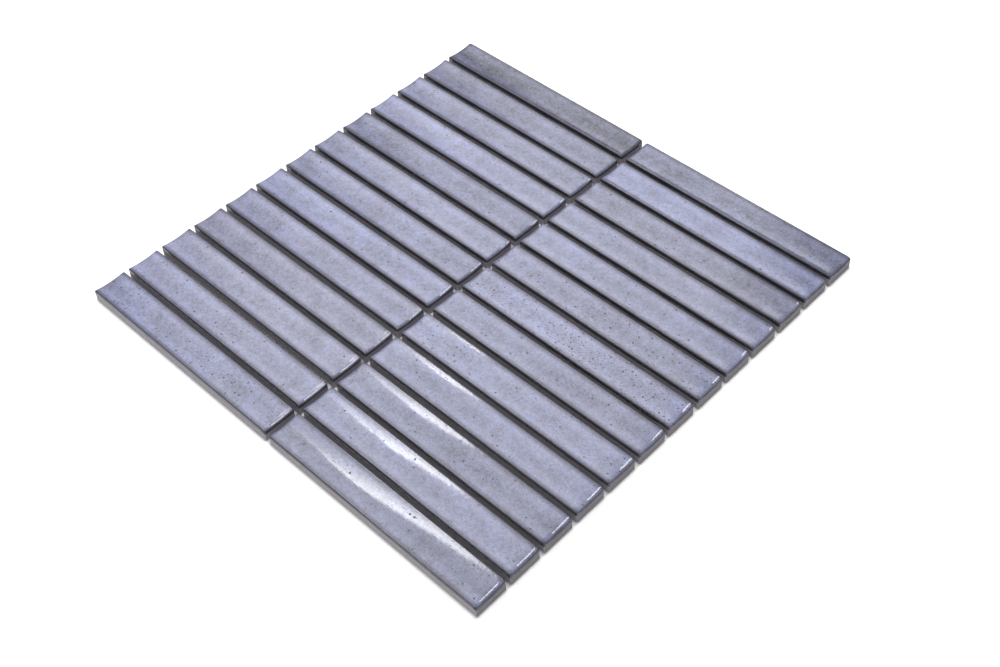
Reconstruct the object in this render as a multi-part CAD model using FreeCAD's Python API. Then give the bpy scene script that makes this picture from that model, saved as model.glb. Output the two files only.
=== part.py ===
import FreeCAD, Part
import math
import os

# Mosaic tile sheet: two columns of long narrow glazed chips on a net backing.
# Lengths in millimetres. X runs along the chips, Y from row to row, Z up.
# The origin is the middle of the sheet, on the plane that it rests on.

# The sheet
columns = ["left", "right"]
rows = 13
joint_width = 3.0

# One chip: its face is dished across the width, like a shallow open-ended trough
tile_length = 145.0
tile_width = 20.0
tile_thickness = 7.5
dish_depth = 0.9
rim_radius = 0.9
end_bevel = 0.7
back_bevel = 0.5

# The net glued to the backs: yarns one way laid over yarns the other way
yarn_pitch = 5.0
yarn_width = 0.9
yarn_thickness = 0.2
yarn_overhang = 0.8
net_setback = 1.0

# Worked out from the sizes above
column_pitch = tile_length + joint_width
row_pitch = tile_width + joint_width
sheet_length = len(columns) * column_pitch - joint_width
sheet_width = rows * row_pitch - joint_width
net_thickness = 2 * yarn_thickness


def rim_point(turn):
    """A point on the rounding of the right-hand rim, turned up from the side face."""
    y = tile_width / 2 - rim_radius + rim_radius * math.cos(turn)
    z = tile_thickness - rim_radius + rim_radius * math.sin(turn)
    return FreeCAD.Vector(0, y, z)


def mirrored(point):
    return FreeCAD.Vector(point.x, -point.y, point.z)


def tile_section():
    """The chip's outline across its length: flat back, upright sides, rounded rims, dished face.

    The dish is one arc that runs smoothly into both rims, and its lowest point lies dish_depth
    under the crest of the rims.
    """
    rim_spread = tile_width / 2 - rim_radius
    centre_distance = (rim_spread ** 2 + dish_depth ** 2) / (2 * dish_depth)
    rim_turn = math.pi / 2 + math.asin(rim_spread / centre_distance)
    side_top, rim_middle, rim_end = [rim_point(turn) for turn in (0, rim_turn / 2, rim_turn)]
    lowest = FreeCAD.Vector(0, 0, tile_thickness - dish_depth)
    half = tile_width / 2
    outline = [
        mirrored(side_top),
        FreeCAD.Vector(0, -half, back_bevel),
        FreeCAD.Vector(0, -half + back_bevel, 0),
        FreeCAD.Vector(0, half - back_bevel, 0),
        FreeCAD.Vector(0, half, back_bevel),
        side_top,
    ]
    edges = [Part.makeLine(start, end) for start, end in zip(outline, outline[1:])]
    arcs = [
        Part.Arc(side_top, rim_middle, rim_end),
        Part.Arc(rim_end, lowest, mirrored(rim_end)),
        Part.Arc(mirrored(rim_end), mirrored(rim_middle), mirrored(side_top)),
    ]
    edges += [arc.toShape() for arc in arcs]
    return Part.Face(Part.Wire(edges))


def bevelled_ends(blank):
    """Both ends, broken all the way round."""
    ends = [edge for edge in blank.Edges if edge.BoundBox.XLength < end_bevel / 2]
    return blank.makeChamfer(end_bevel, ends)


def finger_tile():
    """One chip, centred on its back."""
    blank = tile_section().extrude(FreeCAD.Vector(tile_length, 0, 0))
    blank.translate(FreeCAD.Vector(-tile_length / 2, 0, 0))
    return bevelled_ends(blank)


def tile_centre(column, row):
    """The middle of a chip's back, on top of the net."""
    x = (column - (len(columns) - 1) / 2) * column_pitch
    y = (row - (rows - 1) / 2) * row_pitch
    return FreeCAD.Vector(x, y, net_thickness)


def yarn_places(sheet_span):
    """Yarn centres across the sheet: as many whole meshes as fit, about its middle."""
    room = sheet_span - 2 * (net_setback + yarn_overhang) - yarn_width
    meshes = int(room / yarn_pitch)
    return [(place - meshes / 2) * yarn_pitch for place in range(meshes + 1)]


def yarn_end(crossed_yarns):
    """Where a yarn is cut off: a little past the last yarn that it crosses."""
    return crossed_yarns[-1] + yarn_width / 2 + yarn_overhang


lengthwise_places = yarn_places(sheet_width)
crosswise_places = yarn_places(sheet_length)


def lengthwise_yarns():
    """The lower layer of the net: yarns along the chips."""
    end = yarn_end(crosswise_places)
    return [
        Part.makeBox(
            2 * end, yarn_width, yarn_thickness,
            FreeCAD.Vector(-end, y - yarn_width / 2, 0),
        )
        for y in lengthwise_places
    ]


def crosswise_yarns():
    """The upper layer of the net: yarns across the chips, glued to their backs."""
    end = yarn_end(lengthwise_places)
    return [
        Part.makeBox(
            yarn_width, 2 * end, yarn_thickness,
            FreeCAD.Vector(x - yarn_width / 2, -end, yarn_thickness),
        )
        for x in crosswise_places
    ]


def save(name, shape):
    shape.exportStep(f"parts/{name}.step")
    print(f"{name}: {len(shape.Solids)} solid(s), {shape.Volume / 1000:.2f} cm3")


os.makedirs("parts", exist_ok=True)

chip = finger_tile()
for column, side in enumerate(columns):
    for row in range(rows):
        tile = chip.copy()
        tile.translate(tile_centre(column, row))
        save(f"tile_{side}_{row + 1:02d}", tile)

save("net_lengthwise_yarns", Part.makeCompound(lengthwise_yarns()))
save("net_crosswise_yarns", Part.makeCompound(crosswise_yarns()))
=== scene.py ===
# %% [markdown]
# This lesson dresses a sheet of mosaic tiles: long narrow glazed chips, two columns of them, glued to
# a net. The measured model is loaded first and never moved. Everything made here is in metres and in
# the same place as the solid that it stands for.

# %% Load the measured model
import math
import random

import bpy
from mathutils import Matrix, Vector


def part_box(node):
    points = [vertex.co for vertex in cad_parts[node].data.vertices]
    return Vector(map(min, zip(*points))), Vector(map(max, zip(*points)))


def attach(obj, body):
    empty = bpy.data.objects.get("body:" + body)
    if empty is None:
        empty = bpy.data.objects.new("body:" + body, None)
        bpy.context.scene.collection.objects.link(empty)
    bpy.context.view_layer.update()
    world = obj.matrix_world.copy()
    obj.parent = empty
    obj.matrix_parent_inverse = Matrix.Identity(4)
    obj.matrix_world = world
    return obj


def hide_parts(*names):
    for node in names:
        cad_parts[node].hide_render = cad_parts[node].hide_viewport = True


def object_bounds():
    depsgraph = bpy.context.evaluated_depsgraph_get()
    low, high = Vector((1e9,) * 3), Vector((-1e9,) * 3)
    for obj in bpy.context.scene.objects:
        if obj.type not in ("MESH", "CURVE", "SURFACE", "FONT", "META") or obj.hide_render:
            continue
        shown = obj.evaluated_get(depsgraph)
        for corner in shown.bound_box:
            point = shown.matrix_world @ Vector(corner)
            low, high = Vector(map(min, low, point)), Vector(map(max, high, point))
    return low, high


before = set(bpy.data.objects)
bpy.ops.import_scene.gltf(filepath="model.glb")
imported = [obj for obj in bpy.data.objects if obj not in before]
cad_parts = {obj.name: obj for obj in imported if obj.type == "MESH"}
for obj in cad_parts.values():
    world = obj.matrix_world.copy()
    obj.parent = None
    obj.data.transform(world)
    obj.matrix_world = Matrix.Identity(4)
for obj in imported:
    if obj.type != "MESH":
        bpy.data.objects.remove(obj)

measured_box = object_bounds()
mm = 0.001
tile_nodes = sorted(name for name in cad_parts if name.startswith("tile_"))
net_nodes = sorted(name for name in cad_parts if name.startswith("net_"))
print("chips:", len(tile_nodes), "net layers:", net_nodes)

# %% [markdown]
# The camera stands where the photographer stood. Its direction is given as a turn round the sheet, a
# height above the floor and a slight roll, and its place as a distance from a point on the sheet.
# Named like that, the numbers can be read and changed one by one, which a matrix does not allow.

# %% Camera
camera_turn = math.radians(-44.709)
camera_height = math.radians(48.723)
camera_roll = math.radians(-2.43)
camera_distance = 733.0 * mm
camera_target = Vector((36.68, -17.2, 0.9)) * mm
focal_length = 49.47


def camera_frame():
    """The camera's axes and place: back is the direction from the target to the camera."""
    back = Vector((
        math.cos(camera_height) * math.cos(camera_turn),
        math.cos(camera_height) * math.sin(camera_turn),
        math.sin(camera_height),
    ))
    level = Vector((-math.sin(camera_turn), math.cos(camera_turn), 0.0))
    upright = back.cross(level)
    right = math.cos(camera_roll) * level + math.sin(camera_roll) * upright
    up = back.cross(right)
    place = camera_target + camera_distance * back
    axes = Matrix((right, up, back)).transposed().to_4x4()
    return Matrix.Translation(place) @ axes


camera_data = bpy.data.cameras.new("camera")
camera_data.lens = focal_length
camera_data.sensor_width = 36.0
camera_data.clip_start = 0.01
camera = bpy.data.objects.new("camera", camera_data)
camera.matrix_world = camera_frame()
bpy.context.scene.collection.objects.link(camera)
bpy.context.scene.camera = camera
print("camera stands", round(camera.matrix_world.translation.z, 3), "m above the floor")

# %% [markdown]
# Node trees are built in code here, both for shapes and for finishes. Two small helpers keep them
# readable. `add_node` adds a node and fills its inputs. `Field` wraps a socket that carries a number,
# so that arithmetic on it, such as `width * 0.5 - radius`, adds the Math nodes by itself.

# %% Helpers for node trees
def feed(tree, socket, value):
    """Gives a socket its value: a link from a field or a socket, or else a plain value."""
    if isinstance(value, Field):
        value = value.socket
    if isinstance(value, bpy.types.NodeSocket):
        tree.links.new(value, socket)
    else:
        socket.default_value = value


def add_node(tree, kind, inputs=None, **settings):
    node = tree.nodes.new(kind)
    for name, value in settings.items():
        setattr(node, name, value)
    for key, value in (inputs or {}).items():
        feed(tree, node.inputs[key], value)
    return node


class Field:
    """A number carried by a socket. Arithmetic on it adds Math nodes to its tree."""

    def __init__(self, tree, socket):
        self.tree = tree
        self.socket = socket

    def math(self, operation, *others, clamp=False):
        values = dict(enumerate((self, *others)))
        node = add_node(self.tree, "ShaderNodeMath", values, operation=operation, use_clamp=clamp)
        return Field(self.tree, node.outputs[0])

    def __add__(self, other):
        return self.math("ADD", other)

    def __radd__(self, other):
        return self.math("ADD", other)

    def __sub__(self, other):
        return self.math("SUBTRACT", other)

    def __rsub__(self, other):
        node = add_node(self.tree, "ShaderNodeMath", {0: other, 1: self}, operation="SUBTRACT")
        return Field(self.tree, node.outputs[0])

    def __mul__(self, other):
        return self.math("MULTIPLY", other)

    def __rmul__(self, other):
        return self.math("MULTIPLY", other)

    def __truediv__(self, other):
        return self.math("DIVIDE", other)

    def size(self):
        return self.math("ABSOLUTE")

    def clamped(self):
        """The number held between 0 and 1."""
        return self.math("ADD", 0.0, clamp=True)

    def ramp(self, start, end):
        """0 at start and 1 at end, with soft shoulders."""
        node = add_node(
            self.tree, "ShaderNodeMapRange", {"Value": self, "From Min": start, "From Max": end},
            interpolation_type="SMOOTHSTEP",
        )
        return Field(self.tree, node.outputs["Result"])


def split(tree, vector):
    """The three parts of a vector, as fields."""
    node = add_node(tree, "ShaderNodeSeparateXYZ", {0: vector})
    return [Field(tree, output) for output in node.outputs]


def join(tree, x, y, z):
    return add_node(tree, "ShaderNodeCombineXYZ", {0: x, 1: y, 2: z}).outputs[0]


def vector_math(tree, operation, first, second=None, scale=None):
    inputs = {0: first}
    if second is not None:
        inputs[1] = second
    if scale is not None:
        inputs["Scale"] = scale
    return add_node(tree, "ShaderNodeVectorMath", inputs, operation=operation).outputs[0]


# %% Helpers for shapes
def new_shape_tree(name, inputs):
    """An empty Geometry Nodes tree with named inputs, given as name: socket kind."""
    tree = bpy.data.node_groups.new(name, "GeometryNodeTree")
    tree.interface.new_socket(name="Geometry", in_out="OUTPUT", socket_type="NodeSocketGeometry")
    for label, kind in inputs.items():
        tree.interface.new_socket(name=label, in_out="INPUT", socket_type=f"NodeSocket{kind}")
    source = tree.nodes.new("NodeGroupInput")
    values = {}
    for label, kind in inputs.items():
        socket = source.outputs[label]
        values[label] = Field(tree, socket) if kind in ("Float", "Int") else socket
    return tree, values


def grow(tree, name, settings):
    """Runs a tree with these input values and returns the result as a plain mesh object."""
    mesh = bpy.data.meshes.new(name)
    piece = bpy.data.objects.new(name, mesh)
    bpy.context.scene.collection.objects.link(piece)
    modifier = piece.modifiers.new("shape", "NODES")
    modifier.node_group = tree
    for item in tree.interface.items_tree:
        if item.in_out == "INPUT":
            modifier[item.identifier] = settings[item.name]
    graph = bpy.context.evaluated_depsgraph_get()
    piece.data = bpy.data.meshes.new_from_object(piece.evaluated_get(graph))
    piece.data.name = name
    piece.modifiers.remove(modifier)
    bpy.data.meshes.remove(mesh)
    return piece


# %% [markdown]
# The glaze is a thin layer of coloured glass over a pale clay body. On the real chips it is a soft
# lavender grey. The middle of the dish is made a little darker: partly the glaze pooling there, and
# partly painted shade, since the slopes beside it mirror more light. Towards the rims and the ends
# the colour breaks to a dark slate, partly the real break of the thin glaze and partly painted shade
# of the rounded edges and the joints. It stays dark on the upper part of the sides, and there it
# stops, so that bare clay shows below. Dark specks pepper it. A photograph of a glaze could be
# wrapped round each chip, but a finish made of noises keeps its scale on every side, and each chip
# gets its own patch of it, because the noises read the place of the chip in the sheet.

# %% Helpers for finishes
def mix_colours(tree, amount, first, second, blend="MIX"):
    node = add_node(
        tree, "ShaderNodeMix", {0: amount, 6: first, 7: second}, data_type="RGBA", blend_type=blend,
    )
    return node.outputs[2]


def shaded(tree, colour, shade):
    """The colour made lighter or darker by a number, 1 for no change."""
    grey = add_node(tree, "ShaderNodeCombineColor", {0: shade, 1: shade, 2: shade}).outputs[0]
    return mix_colours(tree, 1.0, colour, grey, blend="MULTIPLY")


def noise(tree, place, scale, detail=2.0, roughness=0.5):
    """A soft noise about 0.5. scale is the number of its waves in one unit of the place."""
    node = add_node(
        tree, "ShaderNodeTexNoise",
        {"Vector": place, "Scale": scale, "Detail": detail, "Roughness": roughness},
    )
    return Field(tree, node.outputs[0])


def spots(tree, place, spacing, radius, share):
    """Round spots seen from above: one in each cell of this spacing, kept in this share of them.

    A spot measures between 0.5 and 1.4 times the radius.
    """
    cells = add_node(
        tree, "ShaderNodeTexVoronoi", {"Vector": place, "Scale": 1.0 / spacing},
        voronoi_dimensions="2D",
    )
    distance = Field(tree, cells.outputs["Distance"])
    chance, size, _ = split(tree, cells.outputs["Color"])
    kept = chance.math("LESS_THAN", share)
    reach = radius / spacing * (size * 0.9 + 0.5)
    return (distance / reach).ramp(1.0, 0.5) * kept


# %% Glaze and clay
glaze_lavender = (0.284, 0.299, 0.449, 1.0)
glaze_grey = (0.299, 0.304, 0.412, 1.0)
# The dark slate of the edges is partly the real glaze break and partly painted shade
dark_edge_glaze_and_shade = (0.04, 0.038, 0.052, 1.0)
speckle_dark = (0.03, 0.028, 0.04, 1.0)
clay_body = (0.36, 0.34, 0.37, 1.0)

# The size of a chip, how far the glaze reaches on it, and the widths of the dark bands at the edges
# and of the darker middle of the dish, both partly painted shade, in millimetres
chip_low, chip_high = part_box(tile_nodes[0])
chip_half_length = (chip_high.x - chip_low.x) / mm / 2
chip_half_width = (chip_high.y - chip_low.y) / mm / 2
chip_height = (chip_high.z - chip_low.z) / mm
glaze_runs_down = 2.9
glaze_line_waviness = 2.4
dark_band_at_rims = 3.2
dark_band_at_ends = 2.0
all_dark_at_ends = 0.1
darker_middle_half_width = 5.5
darkest_middle_within = 1.5

# Waves in a metre of the noises that make the glaze and the clay uneven
drift_waves = 22.0
cloud_waves = 60.0
blotch_waves = 170.0
grain_waves = 520.0
clay_grain_waves = 900.0
fine_grain_waves = 1500.0

# How much lighter and darker each noise makes the glaze, and how much darker the middle of the dish
# is, partly as painted shade
drift_shading = 0.34
cloud_shading = 0.4
blotch_shading = 0.33
grain_shading = 0.56
fine_grain_shading = 0.66
pool_and_shade_darkening = 0.15

# How far two of the noises carry the colour from grey to lavender and back
cloud_tint = 1.2
blotch_tint = 1.4

# Specks in the glaze. A chip's pinholes are its share of large specks, and bring fine ones too
large_speck_spacing = 3.0 * mm
large_speck_radius = 0.52 * mm
large_speck_strength = 0.9
fine_speck_spacing = 1.4 * mm
fine_speck_radius = 0.25 * mm
fine_speck_strength = 0.6
fine_speck_share = 0.22
fine_specks_per_pinhole = 0.8

# Roughness, from 0 for a mirror to 1 for chalk, and relief in millimetres
glaze_roughness = 0.07
uneven_roughness = 0.04
rougher_on_specks = 0.3
clay_roughness = 0.85
glaze_refraction = 1.5
cloud_relief = 0.05
grain_relief = 0.02
speck_depth = 0.1
clay_relief = 0.1
print("chip:", [round(2 * chip_half_length), round(2 * chip_half_width), round(chip_height, 1)], "mm")


# %% Finish of a glazed chip
def glaze_thickness_and_edge_shade(from_rim, from_end, patch):
    """1 where the glaze lies thick, 0 at the edges: partly real glaze break, partly painted shade."""
    at_rims = (from_rim / dark_band_at_rims).clamped().math("POWER", 0.9)
    at_ends = ((from_end - all_dark_at_ends) / dark_band_at_ends).clamped().math("POWER", 0.7)
    return (at_rims.math("MINIMUM", at_ends) * (0.88 + patch * 0.28)).clamped()


def glazed_chip_material():
    material = bpy.data.materials.new("glazed_chip")
    material.use_nodes = True
    tree = material.node_tree
    shader = tree.nodes["Principled BSDF"]
    place = add_node(tree, "ShaderNodeTexCoord").outputs["Object"]
    along, across, height = split(
        tree, add_node(tree, "ShaderNodeAttribute", attribute_name="chip_place").outputs["Vector"])
    tone, depth, pinholes = split(
        tree, add_node(tree, "ShaderNodeAttribute", attribute_name="chip_look").outputs["Vector"])
    drift = noise(tree, place, drift_waves, detail=1.0)
    cloud = noise(tree, place, cloud_waves, detail=3.0)
    blotch = noise(tree, place, blotch_waves)
    grain = noise(tree, place, grain_waves)
    fine_grain = noise(tree, place, fine_grain_waves, detail=1.0)

    # Colour of the glaze: a darker middle and dark edges, both partly glaze and partly painted shade
    thick_and_unshaded = glaze_thickness_and_edge_shade(
        chip_half_width - across.size(), chip_half_length - along.size(), blotch)
    lavender_share = (tone + (cloud - 0.5) * cloud_tint + (blotch - 0.5) * blotch_tint).clamped()
    colour = mix_colours(tree, lavender_share, glaze_grey, glaze_lavender)
    # The darker middle of the dish is partly pooled glaze and partly painted shade
    pooled_and_shaded = across.size().ramp(darker_middle_half_width, darkest_middle_within)
    slow_unevenness = (drift - 0.5) * drift_shading + (cloud - 0.5) * cloud_shading
    quick_unevenness = (blotch - 0.5) * blotch_shading + (grain - 0.5) * grain_shading
    quick_unevenness = quick_unevenness + (fine_grain - 0.5) * fine_grain_shading
    shade = depth - pooled_and_shaded * pool_and_shade_darkening + slow_unevenness + quick_unevenness
    colour = mix_colours(tree, thick_and_unshaded, dark_edge_glaze_and_shade, shaded(tree, colour, shade))

    # Specks: a few large ones, and many fine ones that only just show
    fine_share = fine_speck_share + pinholes * fine_specks_per_pinhole
    large_specks = spots(tree, place, large_speck_spacing, large_speck_radius, pinholes)
    fine_specks = spots(tree, place, fine_speck_spacing, fine_speck_radius, fine_share)
    speck = (large_specks * large_speck_strength).math("MAXIMUM", fine_specks * fine_speck_strength)
    colour = mix_colours(tree, speck, colour, speckle_dark)

    # Bare clay under the glaze line
    glaze_line = chip_height - glaze_runs_down + (cloud - 0.5) * glaze_line_waviness
    glazed = (height - glaze_line).ramp(-0.15, 0.25)
    clay_grain = noise(tree, place, clay_grain_waves, detail=3.0, roughness=0.6)
    clay = shaded(tree, clay_body, 0.8 + clay_grain * 0.4)
    colour = mix_colours(tree, glazed, clay, colour)

    roughness = glaze_roughness + (cloud - 0.5) * uneven_roughness + speck * rougher_on_specks
    roughness = glazed * roughness + (1.0 - glazed) * clay_roughness
    relief = (cloud - 0.5) * cloud_relief + grain * grain_relief - speck * speck_depth
    relief = glazed * relief + (1.0 - glazed) * clay_grain * clay_relief
    bump = add_node(
        tree, "ShaderNodeBump", {"Height": relief, "Distance": 1.0 * mm, "Strength": 1.0})
    feed(tree, shader.inputs["Base Color"], colour)
    feed(tree, shader.inputs["Roughness"], roughness)
    feed(tree, shader.inputs["Normal"], bump.outputs[0])
    shader.inputs["IOR"].default_value = glaze_refraction
    return material


glazed_chip = glazed_chip_material()
print("glaze:", len(glazed_chip.node_tree.nodes), "nodes")

# %% [markdown]
# The net is made of flat bundles of glass fibre, stiffened with a white resin. Up close the fibres
# show as fine lines along each yarn. The place along and round the yarn is kept on its mesh, so the
# lines follow it whichever way it runs.

# %% Finish of the yarns
yarn_pale = (0.62, 0.62, 0.6, 1.0)
yarn_shadow = (0.42, 0.42, 0.4, 1.0)
resin_tint = (0.54, 0.52, 0.48, 1.0)
fibre_relief = 0.06 * mm

# The noises on a yarn: waves in a millimetre along it, and waves once round it
fibre_waves_along = 0.12
fibre_waves_round = 26.0
resin_waves_along = 0.5
resin_waves_round = 1.5


def yarn_material():
    material = bpy.data.materials.new("net_yarn")
    material.use_nodes = True
    tree = material.node_tree
    shader = tree.nodes["Principled BSDF"]
    along, around, _ = split(
        tree, add_node(tree, "ShaderNodeAttribute", attribute_name="yarn_place").outputs["Vector"])
    fibre_place = join(tree, along * fibre_waves_along, around * fibre_waves_round, 0.0)
    fibres = noise(tree, fibre_place, 1.0, detail=3.0)
    resin_place = join(tree, along * resin_waves_along, around * resin_waves_round, 0.0)
    resin = noise(tree, resin_place, 1.0)
    colour = mix_colours(tree, fibres.ramp(0.3, 0.7), yarn_shadow, yarn_pale)
    colour = mix_colours(tree, (resin - 0.35).clamped() * 0.5, colour, resin_tint)
    bump = add_node(
        tree, "ShaderNodeBump", {"Height": fibres, "Distance": fibre_relief, "Strength": 0.8})
    feed(tree, shader.inputs["Base Color"], colour)
    feed(tree, shader.inputs["Roughness"], 0.42 + resin * 0.3)
    feed(tree, shader.inputs["Normal"], bump.outputs[0])
    return material


net_yarn = yarn_material()
print("net yarn:", len(net_yarn.node_tree.nodes), "nodes")

# %% [markdown]
# A finger tile is pressed in a steel die, glazed and fired. Its shape follows a rule: a box with soft
# edges whose upper side is hollowed by one arc across the width. It could be modelled by hand with a
# bevel, but the rule can be written down once as a node tree and then grown for every chip, each with
# its own small faults. The tree starts from a cube with many vertices. The outer few rows of vertices
# on each side are bent round the edges and the rows between are spread over the flats.

# %% Shape of one chip
round_steps = 4
along_steps = 84
across_steps = 24
up_steps = 4
crest_blend = 0.1 * mm
face_waves_in_a_metre = 36.0


def edge_turn(place, steps):
    """Splits a place from -1 to 1: how far it has turned round an edge, and its place on the flat."""
    flat_share = steps / (steps + 2.0 * round_steps)
    side = place.math("SIGN")
    distance = place.size()
    past_flat = ((distance - flat_share) / (1.0 - flat_share)).math("MAXIMUM", 0.0)
    turned = (past_flat * (math.pi / 4.0)).math("TANGENT") * side
    flat = distance.math("MINIMUM", flat_share) / flat_share * side
    return turned, flat


def chip_tree():
    tree, given = new_shape_tree("finger tile", {
        "Length": "Float", "Width": "Float", "Height": "Float", "Dish Depth": "Float",
        "Rim Reach": "Float", "Rim Drop": "Float", "End Reach": "Float", "End Drop": "Float",
        "End Draft": "Float", "Corner Radius": "Float", "Foot Radius": "Float", "Lean": "Float",
        "Wobble": "Float", "Seed": "Float", "Turn": "Float", "Centre": "Vector", "Look": "Vector",
        "Finish": "Material",
    })
    steps = (along_steps, across_steps, up_steps)
    cube = add_node(tree, "GeometryNodeMeshCube", {
        "Size": (2.0, 2.0, 2.0),
        "Vertices X": along_steps + 2 * round_steps + 1,
        "Vertices Y": across_steps + 2 * round_steps + 1,
        "Vertices Z": up_steps + 2 * round_steps + 1,
    })
    unit_place = split(tree, tree.nodes.new("GeometryNodeInputPosition").outputs[0])
    turned, flat = zip(*[edge_turn(place, count) for place, count in zip(unit_place, steps)])
    facing = split(tree, vector_math(tree, "NORMALIZE", join(tree, *turned)))

    # Where a rim and an end meet, the drop goes from the one's to the other's. The small share added
    # to the end's pull keeps the flats, which have no pull, from dividing by 0
    rim_pull = turned[1].size()
    end_pull = turned[0].size() + 0.0001
    drop = (given["Rim Drop"] * rim_pull + given["End Drop"] * end_pull) / (rim_pull + end_pull)
    upper = unit_place[2].math("GREATER_THAN", 0.0)
    foot = given["Foot Radius"]
    edge_height = upper * drop + (1.0 - upper) * foot

    def reach_towards(edge_reach):
        """How far in an edge starts: the corner radius on the walls, the edge's own reach above."""
        level = turned[2].size()
        own_reach = upper * edge_reach + (1.0 - upper) * foot
        return given["Corner Radius"] * (1.0 - level) + own_reach * level

    # The rows of vertices across the face lie closer together towards the rims
    crowded = (flat[1] * (math.pi / 2.0)).math("SINE")
    end_span = reach_towards(given["End Reach"])
    rim_span = reach_towards(given["Rim Reach"])
    wall = given["Height"] - drop - foot
    z = foot + (flat[2] * 0.5 + 0.5) * wall + facing[2] * edge_height
    drafted_half = given["Length"] * 0.5 - given["End Draft"] * z / given["Height"]
    x = flat[0] * (drafted_half - end_span) + facing[0] * end_span
    y = crowded * (given["Width"] * 0.5 - rim_span) + facing[1] * rim_span

    # The dish: one arc across the width, blended into the crests of the rims. The whole face may
    # lean a little, by lowering one rim
    dish = given["Dish Depth"]
    spread = given["Width"] * 0.5 - given["Rim Reach"]
    arc_radius = (spread * spread + dish * dish) / (dish * 2.0)
    arc = arc_radius - dish - (arc_radius * arc_radius - y * y).math("SQRT")
    lowered = given["Lean"].size() * given["Width"] * 0.5 - given["Lean"] * y
    hollow = lowered - arc.math("SMOOTH_MIN", 0.0, crest_blend)
    share_of_height = (z / (given["Height"] - given["End Drop"])).clamped()
    z = z - hollow * share_of_height

    # Small faults of the pressing and the glaze: slow waves, stronger towards the face
    ideal = join(tree, x, y, z)
    waves = add_node(tree, "ShaderNodeTexNoise", {
        "Vector": ideal, "W": given["Seed"], "Scale": face_waves_in_a_metre, "Detail": 1.6,
        "Roughness": 0.4,
    }, noise_dimensions="4D")
    push = vector_math(tree, "SUBTRACT", waves.outputs["Color"], (0.5, 0.5, 0.5))
    push = vector_math(tree, "SCALE", push, scale=given["Wobble"] * share_of_height * 2.0)
    formed = vector_math(tree, "ADD", ideal, push)

    # What the finish needs to know: the place on the chip in millimetres, and the chip's own look.
    # The place is stored before the vertices move, because it is worked out from the cube
    place_in_mm = vector_math(tree, "SCALE", ideal, scale=1.0 / mm)
    marked = add_node(tree, "GeometryNodeStoreNamedAttribute", {
        "Geometry": cube.outputs[0], "Name": "chip_place", "Value": place_in_mm,
    }, data_type="FLOAT_VECTOR", domain="POINT")
    looked = add_node(tree, "GeometryNodeStoreNamedAttribute", {
        "Geometry": marked.outputs[0], "Name": "chip_look", "Value": given["Look"],
    }, data_type="FLOAT_VECTOR", domain="POINT")
    shaped = add_node(
        tree, "GeometryNodeSetPosition", {"Geometry": looked.outputs[0], "Position": formed})
    turn = join(tree, 0.0, 0.0, given["Turn"])
    placed = add_node(tree, "GeometryNodeTransform", {
        "Geometry": shaped.outputs[0], "Translation": given["Centre"], "Rotation": turn,
    })
    smooth = add_node(tree, "GeometryNodeSetShadeSmooth", {"Geometry": placed.outputs[0]})
    real = add_node(tree, "GeometryNodeRealizeInstances", {"Geometry": smooth.outputs[0]})
    finished = add_node(tree, "GeometryNodeSetMaterial", {
        "Geometry": real.outputs[0], "Material": given["Finish"],
    })
    out = tree.nodes.new("NodeGroupOutput")
    tree.links.new(finished.outputs[0], out.inputs["Geometry"])
    return tree


finger_tile = chip_tree()
print("chip tree:", len(finger_tile.nodes), "nodes")

# %% [markdown]
# No two chips from a kiln are alike, and no hand lays them quite evenly. Each gets its own small
# shift, turn, lean, depth of dish and waves from a fixed seed, and a look of three numbers: how
# lavender it is, how light, and how peppered with specks. The chips that stand out on the sheet are
# named, with the look that they have there, and the face of the nearest one leans more than the rest,
# with its far rim higher. How light each named chip is was set to match it where it lies, so besides
# its own tone it holds painted shade that evens out the lamps' light across the sheet. Shifts always
# point into the sheet at its border, so that the dressed sheet stays as large as the measured one.

# %% Looks and faults of the chips
chip_seed = 27
shape_margin = 0.05 * mm
rim_reach = 0.85 * mm
rim_drop = 0.85 * mm
end_reach = 2.6 * mm
end_drop = 1.3 * mm
end_draft = 0.2 * mm
corner_radius = 0.8 * mm
foot_radius = 0.4 * mm
wave_height = 0.09 * mm
dish_depth = 0.87 * mm

# How much the chips differ. A lean is the slope of a face across the chip, and a turn is in radians
uneven_dish = 0.03 * mm
uneven_lean = 0.0025
uneven_laying = 0.25 * mm
uneven_turn = 0.0012
column_shifts = {"left": 0.0, "right": -0.3 * mm}
plain_look = {"tone": 0.5, "depth": 0.97, "pinholes": 0.06, "lean": 0.0}
# The depths hold each chip's own tone and also painted shade that evens out the lamps' light
looks_that_stand_out = {
    "tile_left_01": {"tone": 0.8, "depth": 0.98, "pinholes": 0.18},
    "tile_left_02": {"depth": 1.01},
    "tile_left_03": {"tone": 0.3, "depth": 1.04},
    "tile_left_04": {"tone": 0.1, "depth": 0.99},
    "tile_left_06": {"tone": 0.8, "depth": 1.04},
    "tile_left_08": {"depth": 1.0},
    "tile_left_09": {"tone": 0.4, "depth": 0.84},
    "tile_left_10": {"tone": 0.7, "depth": 1.03},
    "tile_left_11": {"depth": 0.94},
    "tile_left_12": {"tone": 0.3, "depth": 0.79},
    "tile_left_13": {"tone": 0.4, "depth": 0.55, "pinholes": 0.03},
    "tile_right_01": {"tone": 0.4, "depth": 0.84, "lean": 0.033},
    "tile_right_02": {"tone": 0.6, "depth": 1.03},
    "tile_right_03": {"tone": 0.3, "depth": 0.86},
    "tile_right_04": {"depth": 1.0},
    "tile_right_05": {"depth": 1.02, "pinholes": 0.14},
    "tile_right_06": {"depth": 0.9, "pinholes": 0.12},
    "tile_right_07": {"depth": 1.05, "pinholes": 0.45},
    "tile_right_08": {"pinholes": 0.2},
    "tile_right_09": {"pinholes": 0.12},
    "tile_right_11": {"tone": 0.3, "depth": 0.86},
    "tile_right_12": {"tone": 1.2, "depth": 1.0},
    "tile_right_13": {"tone": 0.6, "depth": 0.77},
}
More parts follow.
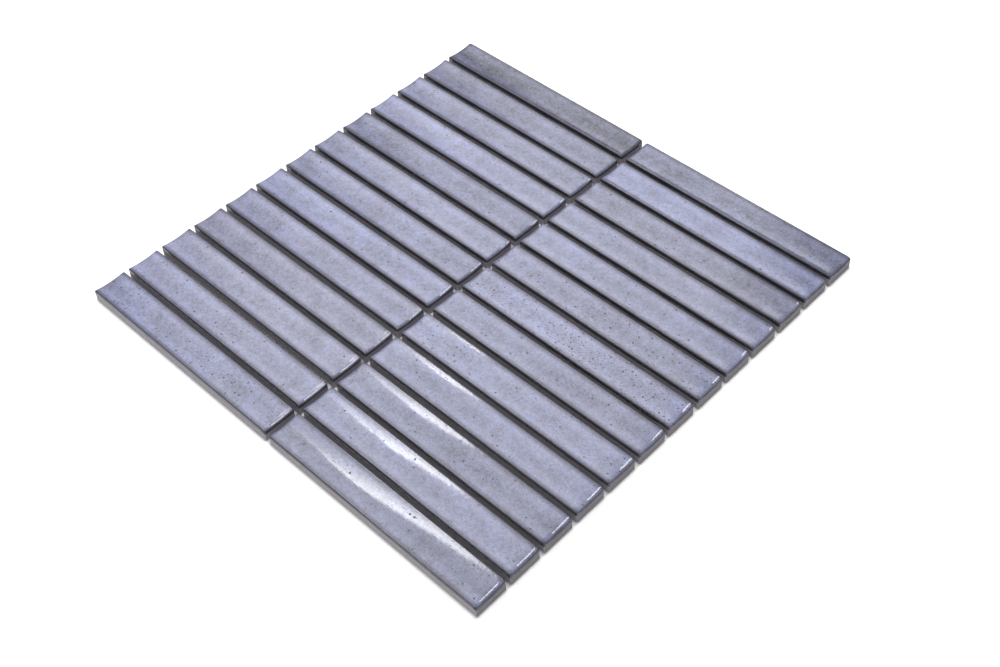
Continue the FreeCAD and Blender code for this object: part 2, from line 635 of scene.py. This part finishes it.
print("chips that stand out:", len(looks_that_stand_out))


# %% Grow the chips
def into_sheet(shift, low, high, axis, reach):
    """Turns a shift inwards where the chip lies at the sheet's border."""
    if low[axis] - measured_box[0][axis] < reach:
        return abs(shift)
    if measured_box[1][axis] - high[axis] < reach:
        return -abs(shift)
    return shift


def make_chip(name, chance):
    low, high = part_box(name)
    size = high - low
    chip_look = {**plain_look, **looks_that_stand_out.get(name, {})}
    turn = chance.uniform(-1.0, 1.0) * uneven_turn
    swing = abs(turn) * size.x / 2
    shift_along = into_sheet(chance.uniform(-1.0, 1.0) * uneven_laying, low, high, 0, mm)
    shift_along += column_shifts[name.split("_")[1]]
    shift_across = into_sheet(chance.uniform(-1.0, 1.0) * uneven_laying, low, high, 1, mm)
    if abs(shift_across) < swing:
        shift_across = math.copysign(swing, shift_across)
    look = (
        chip_look["tone"] + chance.uniform(-0.15, 0.15),
        chip_look["depth"] + chance.uniform(-0.03, 0.03),
        chip_look["pinholes"] * chance.uniform(0.7, 1.3),
    )
    return grow(finger_tile, name.replace("tile", "glazed_chip"), {
        "Length": size.x - 2 * shape_margin,
        "Width": size.y - 2 * shape_margin,
        "Height": size.z - shape_margin,
        "Dish Depth": dish_depth + chance.uniform(-1.0, 1.0) * uneven_dish,
        "Rim Reach": rim_reach,
        "Rim Drop": rim_drop,
        "End Reach": end_reach,
        "End Drop": end_drop,
        "End Draft": end_draft,
        "Corner Radius": corner_radius,
        "Foot Radius": foot_radius,
        "Lean": chip_look["lean"] + chance.uniform(-1.0, 1.0) * uneven_lean,
        "Wobble": wave_height,
        "Seed": chance.uniform(0.0, 50.0),
        "Turn": turn,
        "Centre": ((low.x + high.x) / 2 + shift_along, (low.y + high.y) / 2 + shift_across, low.z),
        "Look": look,
        "Finish": glazed_chip,
    })


chance = random.Random(chip_seed)
for node_name in tile_nodes:
    chip = make_chip(node_name, chance)
    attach(chip, "root")
    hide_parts(node_name)
print("chips made:", len(tile_nodes), "faces each:", len(chip.data.polygons))

# %% [markdown]
# The net holds the chips in step until they are bedded in adhesive. One set of yarns lies along the
# chips and the other across them, on top, glued where they cross. Each layer is grown by one tree:
# a row of points, a straight curve on each, a little drift, and a flat oval swept along it, which
# gets a little wider and narrower once in each mesh.

# %% Shape of a net layer
yarn_drift = 0.25 * mm
yarn_waves_in_a_metre = 45.0
sides_of_yarn = 10


def net_tree():
    tree, given = new_shape_tree("net yarns", {
        "Count": "Int", "First": "Vector", "Step": "Vector", "Half Run": "Vector",
        "Width": "Float", "Thickness": "Float", "Crossing Pitch": "Float",
        "Points": "Int", "Seed": "Float", "Finish": "Material",
    })
    row = add_node(tree, "GeometryNodeMeshLine", {
        "Count": given["Count"], "Start Location": given["First"], "Offset": given["Step"],
    })
    start = vector_math(tree, "SCALE", given["Half Run"], scale=-1.0)
    yarn = add_node(tree, "GeometryNodeCurvePrimitiveLine", {"Start": start, "End": given["Half Run"]})
    fine = add_node(tree, "GeometryNodeResampleCurve", {
        "Curve": yarn.outputs[0], "Count": given["Points"],
    })
    laid = add_node(tree, "GeometryNodeInstanceOnPoints", {
        "Points": row.outputs[0], "Instance": fine.outputs[0],
    })
    real = add_node(tree, "GeometryNodeRealizeInstances", {"Geometry": laid.outputs[0]})
    place = tree.nodes.new("GeometryNodeInputPosition").outputs[0]
    drift = add_node(tree, "ShaderNodeTexNoise", {
        "Vector": place, "W": given["Seed"], "Scale": yarn_waves_in_a_metre, "Detail": 1.0,
    }, noise_dimensions="4D")
    push = vector_math(tree, "SUBTRACT", drift.outputs["Color"], (0.5, 0.5, 0.5))
    sideways = vector_math(tree, "MULTIPLY", push, (yarn_drift, yarn_drift, 0.0))
    drifted = add_node(tree, "GeometryNodeSetPosition", {
        "Geometry": real.outputs[0], "Offset": sideways,
    })
    upright = add_node(tree, "GeometryNodeSetCurveNormal", {"Curve": drifted.outputs[0]}, mode="Z_UP")
    spline = tree.nodes.new("GeometryNodeSplineParameter")
    length_along = Field(tree, spline.outputs["Length"])
    phase = length_along / given["Crossing Pitch"] * (2.0 * math.pi)
    swell = phase.math("COSINE") * -0.06 + 0.93
    swelled = add_node(tree, "GeometryNodeSetCurveRadius", {
        "Curve": upright.outputs[0], "Radius": swell,
    })
    oval = add_node(tree, "GeometryNodeCurvePrimitiveCircle", {
        "Resolution": sides_of_yarn, "Radius": 0.5,
    })
    flat_oval = add_node(tree, "GeometryNodeTransform", {
        "Geometry": oval.outputs[0], "Scale": join(tree, given["Width"], given["Thickness"], 1.0),
    })
    along_mark = add_node(tree, "GeometryNodeCaptureAttribute", {"Geometry": swelled.outputs[0]})
    along_mark.capture_items.new("FLOAT", "along")
    feed(tree, along_mark.inputs["along"], length_along / mm)
    around = tree.nodes.new("GeometryNodeSplineParameter").outputs["Factor"]
    around_mark = add_node(tree, "GeometryNodeCaptureAttribute", {"Geometry": flat_oval.outputs[0]})
    around_mark.capture_items.new("FLOAT", "around")
    feed(tree, around_mark.inputs["around"], around)
    swept = add_node(tree, "GeometryNodeCurveToMesh", {
        "Curve": along_mark.outputs[0], "Profile Curve": around_mark.outputs[0], "Fill Caps": True,
    })
    yarn_place = join(tree, along_mark.outputs["along"], around_mark.outputs["around"], 0.0)
    marked = add_node(tree, "GeometryNodeStoreNamedAttribute", {
        "Geometry": swept.outputs[0], "Name": "yarn_place", "Value": yarn_place,
    }, data_type="FLOAT_VECTOR", domain="POINT")
    smooth = add_node(tree, "GeometryNodeSetShadeSmooth", {"Geometry": marked.outputs[0]})
    again = add_node(tree, "GeometryNodeRealizeInstances", {"Geometry": smooth.outputs[0]})
    finished = add_node(tree, "GeometryNodeSetMaterial", {
        "Geometry": again.outputs[0], "Material": given["Finish"],
    })
    out = tree.nodes.new("NodeGroupOutput")
    tree.links.new(finished.outputs[0], out.inputs["Geometry"])
    return tree


net_yarns = net_tree()
print("net tree:", len(net_yarns.nodes), "nodes")


# %% Lay the net
yarn_pitch = 5.0 * mm
yarn_width = 0.9 * mm
yarn_end_margin = 0.1 * mm
yarn_height_share = 0.98
points_on_yarn = 118


def make_net_layer(name, run_axis, seed):
    """run_axis is 0 for yarns along the chips and 1 for yarns across them."""
    low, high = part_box(name)
    other = 1 - run_axis
    half_run = Vector((0.0, 0.0, 0.0))
    half_run[run_axis] = (high[run_axis] - low[run_axis]) / 2 - yarn_end_margin
    first = Vector((0.0, 0.0, (low.z + high.z) / 2))
    first[other] = low[other] + yarn_width / 2
    step = Vector((0.0, 0.0, 0.0))
    step[other] = yarn_pitch
    count = round((high[other] - low[other] - yarn_width) / yarn_pitch) + 1
    layer = grow(net_yarns, name.replace("yarns", "strands"), {
        "Count": count,
        "First": first,
        "Step": step,
        "Half Run": half_run,
        "Width": yarn_width,
        "Thickness": (high.z - low.z) * yarn_height_share,
        "Crossing Pitch": yarn_pitch,
        "Points": points_on_yarn,
        "Seed": seed,
        "Finish": net_yarn,
    })
    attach(layer, "root")
    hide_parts(name)
    print(name, "yarns:", count, "faces:", len(layer.data.polygons))


make_net_layer("net_lengthwise_yarns", run_axis=0, seed=3.0)
make_net_layer("net_crosswise_yarns", run_axis=1, seed=8.0)

# %% [markdown]
# The sheet lies on a plain white table under soft light. The table's colour alone would come out a
# little grey, so the camera, and anything glossy, sees a share of plain white added to it. The rest
# of its light comes from the lamps, and that part keeps the soft shadow under the sheet. Most of the
# white is held back under the sheet itself, where the real table lies in the dark of the joints. Far
# from the sheet, where the lamps don't reach, the added white takes over, so that no grey edge shows.

# %% Finish of the table
table_colour = (0.8, 0.8, 0.8, 1.0)
added_white = 0.45
added_white_under_sheet = 0.04
lamplight_weakens_from = 0.35
lamplight_gone_by = 1.3


def beyond_sheet(tree, place):
    """0 under the sheet and 1 round it, with a soft step of 2 mm."""
    x, y, _ = split(tree, place)
    half_length, half_width = measured_box[1][0], measured_box[1][1]
    past_end = x.size().ramp(half_length - mm, half_length + mm)
    past_rim = y.size().ramp(half_width - mm, half_width + mm)
    return past_end.math("MAXIMUM", past_rim)


def far_from_sheet(tree, place):
    """0 round the sheet and 1 where the light of the lamps no longer reaches the table."""
    distance = add_node(tree, "ShaderNodeVectorMath", {0: place}, operation="LENGTH").outputs["Value"]
    return Field(tree, distance).ramp(lamplight_weakens_from, lamplight_gone_by)


def table_material():
    material = bpy.data.materials.new("white_table")
    material.use_nodes = True
    tree = material.node_tree
    shader = tree.nodes["Principled BSDF"]
    shader.inputs["Base Color"].default_value = table_colour
    shader.inputs["Roughness"].default_value = 1.0
    shader.inputs["Specular IOR Level"].default_value = 0.0
    path = tree.nodes.new("ShaderNodeLightPath")
    seen = Field(tree, path.outputs["Is Camera Ray"])
    seen = seen.math("MAXIMUM", Field(tree, path.outputs["Is Glossy Ray"]))
    seen = seen.math("MAXIMUM", Field(tree, path.outputs["Is Transmission Ray"]))
    place = add_node(tree, "ShaderNodeTexCoord").outputs["Object"]
    held_back = added_white - added_white_under_sheet
    white = beyond_sheet(tree, place) * held_back + added_white_under_sheet
    far_off = far_from_sheet(tree, place)
    white = white * (1.0 - far_off) + far_off
    feed(tree, shader.inputs["Emission Color"], (1.0, 1.0, 1.0, 1.0))
    feed(tree, shader.inputs["Emission Strength"], seen * white)
    return material


# %% Table
table_size = 6.0
gap_under_sheet = 0.02 * mm
bpy.ops.mesh.primitive_plane_add(size=table_size, location=(0.0, 0.0, -gap_under_sheet))
table = bpy.context.object
table.name = "table"
table.data.materials.append(table_material())
print("table:", table_size, "m across")

# %% [markdown]
# The room is a dim even grey, and white to the camera alone. A soft lamp hangs overhead, a little
# behind: it gives the most light, and it shows as bright lines on the rounded right-hand ends. A wide
# dim panel hangs on the left, and the glossy faces mirror it towards the camera. It fades out at its
# left and right ends, which is why the faces darken towards the outer ends of both columns. A small
# lamp under the panel is what the dished faces of the nearest chips mirror as streaks. Its light
# fades slowly from its far side to its near side, so each streak has one soft edge and one crisper
# edge. Both fades are made in the lamps' own nodes, from the place on the surface. A low lamp in
# front lights the outer sides. The strength of each lamp is given as the brightness of its surface,
# where 1 is white paper.

# %% Room
room_brightness = 0.14
world = bpy.data.worlds.new("room")
world.use_nodes = True
bpy.context.scene.world = world
room = world.node_tree
background = room.nodes["Background"]
background.inputs["Color"].default_value = (1.0, 1.0, 1.0, 1.0)
room_path = room.nodes.new("ShaderNodeLightPath")
seen_room = Field(room, room_path.outputs["Is Camera Ray"])
feed(room, background.inputs["Strength"], room_brightness + seen_room * (1.0 - room_brightness))
print("room brightness:", room_brightness)


# %% Helpers for lamps
def soft_lamp(name, place, width, depth, brightness, target=None, turn=0.0):
    """A rectangular lamp facing a target, or else straight down, and turned about its own axis."""
    target = target or (place[0], place[1], 0.0)
    data = bpy.data.lights.new(name, "AREA")
    data.shape = "RECTANGLE"
    data.size = width
    data.size_y = depth
    data.energy = brightness * math.pi * width * depth
    lamp = bpy.data.objects.new(name, data)
    facing = (Vector(target) - Vector(place)).to_track_quat("-Z", "Y").to_matrix().to_4x4()
    lamp.matrix_world = Matrix.Translation(Vector(place)) @ facing @ Matrix.Rotation(turn, 4, "Z")
    lamp.visible_camera = False
    bpy.context.scene.collection.objects.link(lamp)
    return lamp


def place_on_lamp(lamp):
    """A lamp's tree, and the place on its surface: from its left end and from its near side, 0 to 1."""
    lamp.data.use_nodes = True
    tree = lamp.data.node_tree
    place = add_node(tree, "ShaderNodeTexCoord").outputs["UV"]
    from_left, from_near_side, _ = split(tree, place)
    return tree, from_left, from_near_side


def fade_towards_near_side(lamp):
    """Makes a lamp brightest near its far side, dark at its near side and weak at its left end.

    The far side itself is soft, and more so towards the right. Places are shares of the lamp's size.
    """
    tree, from_left, from_near_side = place_on_lamp(lamp)
    brightest_at = 0.68
    near_fade_power = 1.8
    near_side = (from_near_side / brightest_at).clamped().math("POWER", near_fade_power)
    light_ends = from_left * 0.16 + 0.79
    light_is_full = 0.74 - from_left * 0.04
    far_side = from_near_side.ramp(light_ends, light_is_full)
    weak_until, full_from, weak_light = 0.285, 0.31, 0.08
    falling_light = 1.15 - from_left * 0.35
    left_end = from_left.ramp(weak_until, full_from) * falling_light + weak_light
    feed(tree, tree.nodes["Emission"].inputs["Strength"], near_side * far_side * left_end)


def fade_at_both_ends(lamp, left_share, right_share):
    """Makes a lamp fade to dark over a share of its length at each end."""
    tree, from_left, _ = place_on_lamp(lamp)
    left_end = from_left.ramp(0.0, left_share)
    right_end = from_left.ramp(1.0, 1.0 - right_share)
    feed(tree, tree.nodes["Emission"].inputs["Strength"], left_end * right_end)


# %% Lamps
soft_lamp("overhead_lamp", place=(0.05, 0.18, 1.0), width=0.28, depth=0.56, brightness=11.2)
panel = soft_lamp(
    "wide_panel", place=(-0.726, 0.64, 1.0), width=0.967, depth=2.4, brightness=2.2,
    turn=math.radians(6.0))
fade_at_both_ends(panel, left_share=0.35, right_share=0.12)
soft_lamp(
    "front_lamp", place=(0.1, -1.3, 0.3), width=1.4, depth=0.14, brightness=9.0,
    target=(0.0, 0.0, 0.0))
streak_lamp = soft_lamp(
    "streak_lamp", place=(-0.394, 0.012, 0.8), width=0.506, depth=0.23, brightness=13.5,
    turn=math.radians(-52.9))
fade_towards_near_side(streak_lamp)
bpy.context.scene.view_settings.view_transform = "Standard"
print("lamps:", len(bpy.data.lights))
